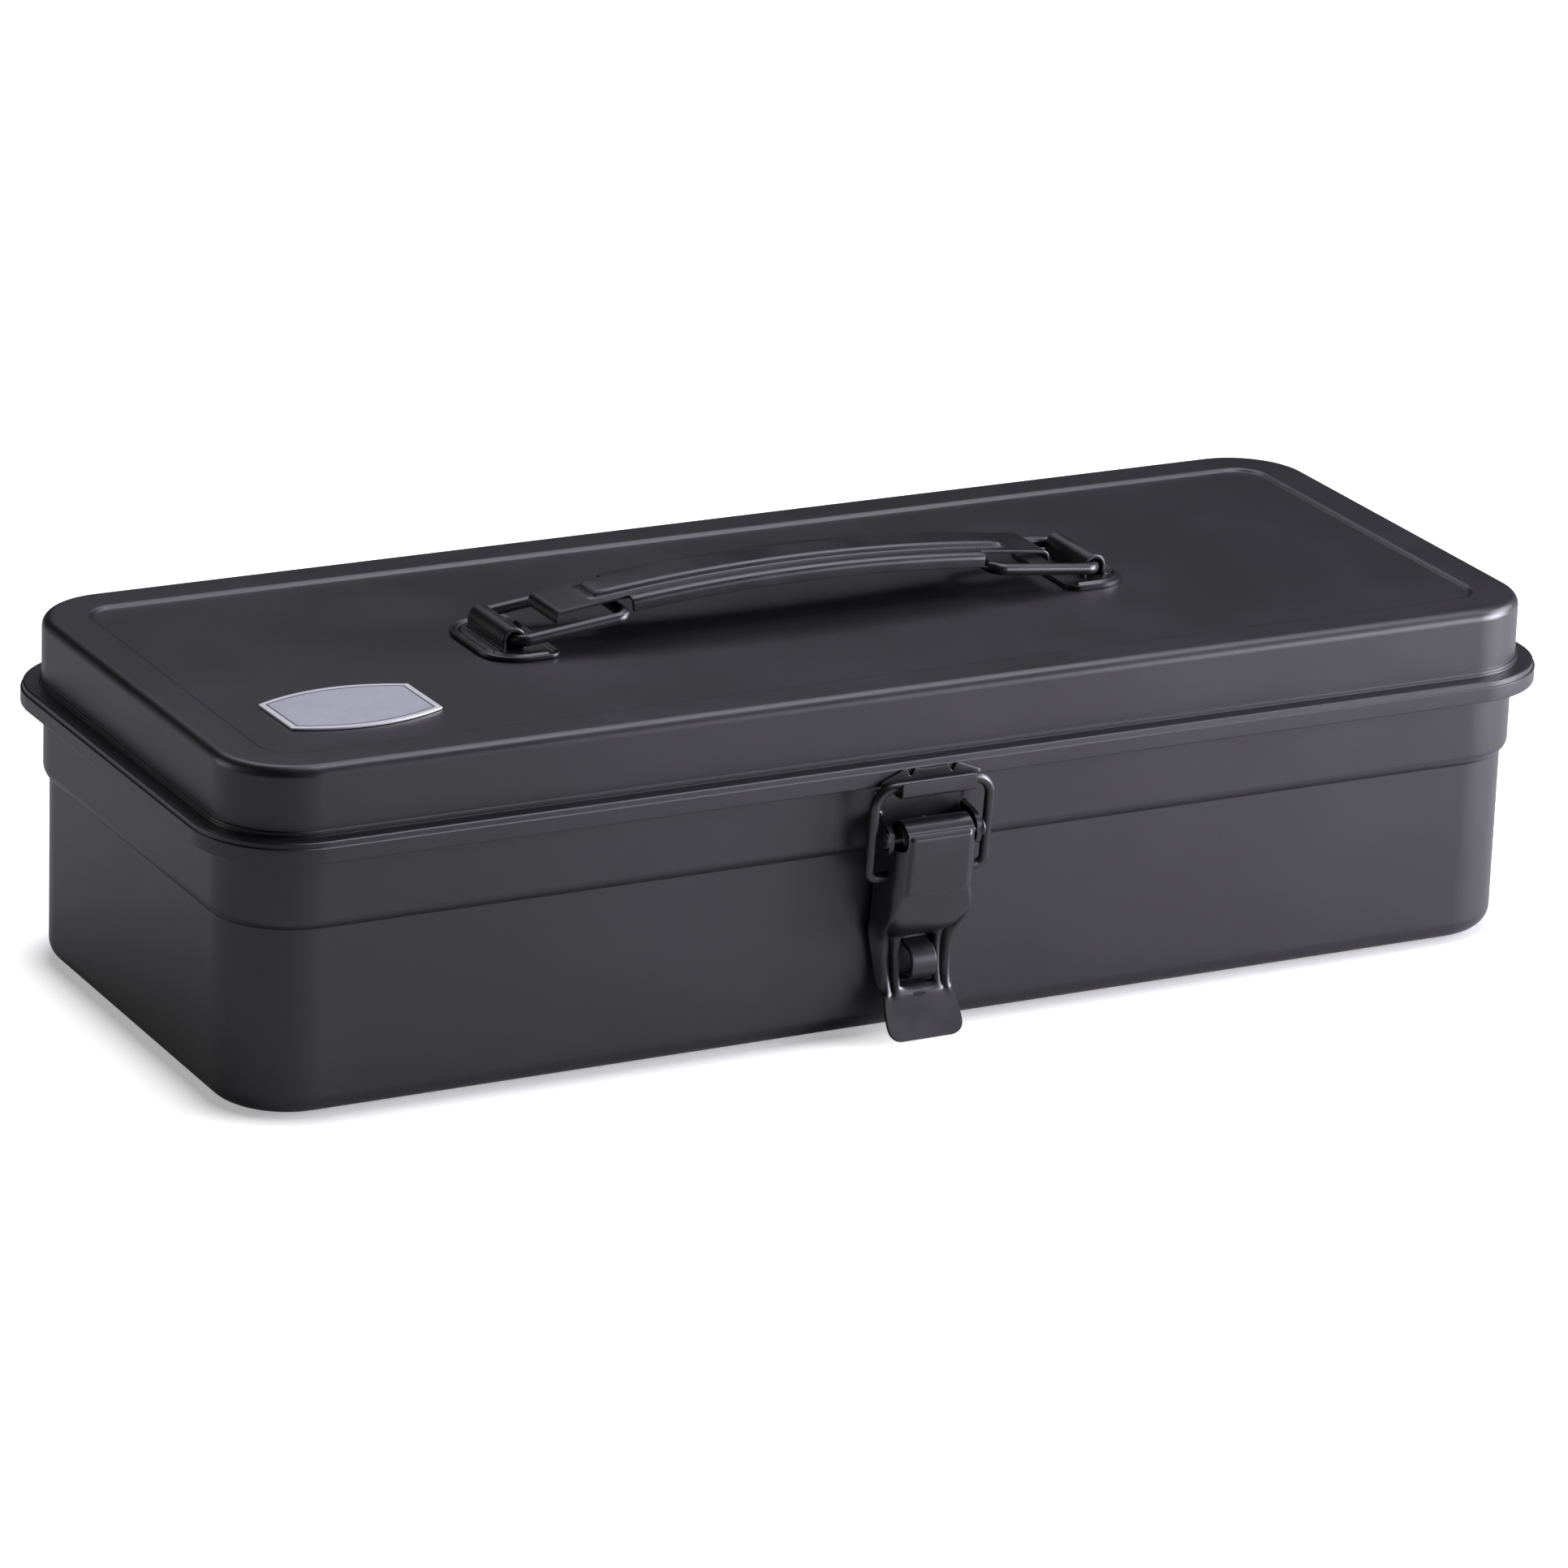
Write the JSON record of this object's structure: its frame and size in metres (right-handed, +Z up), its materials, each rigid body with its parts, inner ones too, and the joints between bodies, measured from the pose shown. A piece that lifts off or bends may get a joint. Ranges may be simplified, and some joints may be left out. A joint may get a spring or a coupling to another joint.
{
  "type": "steel tool box",
  "caption": "Small flat steel tool box with a drawn tub and lid, a draw latch with a wire bail in front and a low metal carrying handle on top.",
  "frame": {"origin": "middle of the tub on the surface that the box stands on", "axes": "+X to the right along the length, +Y to the back where the hinges are, +Z up"},
  "size_m": [0.333, 0.1494, 0.093],
  "materials": {
    "black_powder_coat": "satin black powder coat with a very fine grain",
    "black_hardware": "satin black baked enamel on pressed steel and wire",
    "dark_steel": "blackened steel, worn brighter on its heads",
    "label_plate": "thin brushed plate, blank, with a pale edge"
  },
  "bodies": {
    "box": {"body_tub": "black_powder_coat", "latch_base_plate": "black_hardware", "padlock_staple": "black_hardware", "latch_pivot_pin": "dark_steel", "latch_rivet_top": "black_hardware", "latch_rivet_left": "black_hardware", "latch_rivet_right": "black_hardware", "hinge_body_leaf_left": "black_hardware", "hinge_body_leaf_right": "black_hardware", "hinge_pin_left": "dark_steel", "hinge_pin_right": "dark_steel", "hinge_body_rivet_left_inner": "black_hardware", "hinge_body_rivet_left_outer": "black_hardware", "hinge_body_rivet_right_inner": "black_hardware", "hinge_body_rivet_right_outer": "black_hardware"},
    "lid": {"lid_pan": "black_powder_coat", "label_plate": "label_plate", "handle_bracket_left": "black_hardware", "handle_bracket_right": "black_hardware", "latch_keeper": "black_hardware", "hinge_lid_leaf_left": "black_hardware", "hinge_lid_leaf_right": "black_hardware", "hinge_lid_rivet_left_inner": "black_hardware", "hinge_lid_rivet_left_outer": "black_hardware", "hinge_lid_rivet_right_inner": "black_hardware", "hinge_lid_rivet_right_outer": "black_hardware"},
    "lever": {"latch_lever": "black_hardware"},
    "bail": {"latch_bail": "black_hardware"},
    "grip": {"handle_grip": "black_hardware"},
    "ring_left": {"handle_ring_left": "black_hardware"},
    "ring_right": {"handle_ring_right": "black_hardware"}
  },
  "joints": [
    {"name": "lid_hinge", "type": "hinge", "parent": "box", "child": "lid", "pos_m": [0, 0.0713, 0.062], "axis": [-1, 0, 0], "range_deg": [0, 105]},
    {"name": "latch_lever_swing", "type": "hinge", "parent": "box", "child": "lever", "pos_m": [0, -0.071, 0.0487], "axis": [-1, 0, 0], "range_deg": [0, 80]},
    {"name": "latch_bail_swing", "type": "hinge", "parent": "lever", "child": "bail", "pos_m": [0, -0.0684, 0.0391], "axis": [-1, 0, 0], "range_deg": [-50, 0]},
    {"name": "handle_lift", "type": "slide", "parent": "lid", "child": "grip", "axis": [0, 0, 1], "range_m": [0, 0.018]},
    {"name": "ring_left_swing", "type": "hinge", "parent": "lid", "child": "ring_left", "pos_m": [-0.0734, 0, 0.083], "axis": [0, -1, 0], "range_deg": [0, 44]},
    {"name": "ring_right_swing", "type": "hinge", "parent": "lid", "child": "ring_right", "pos_m": [0.0734, 0, 0.083], "axis": [0, 1, 0], "range_deg": [0, 44]}
  ],
  "couplings": [
    {"joint": "latch_bail_swing", "follows": "latch_lever_swing", "ratio": -0.6},
    {"joint": "ring_left_swing", "follows": "handle_lift", "rad_per_m": 42},
    {"joint": "ring_right_swing", "follows": "handle_lift", "rad_per_m": 42}
  ]
}
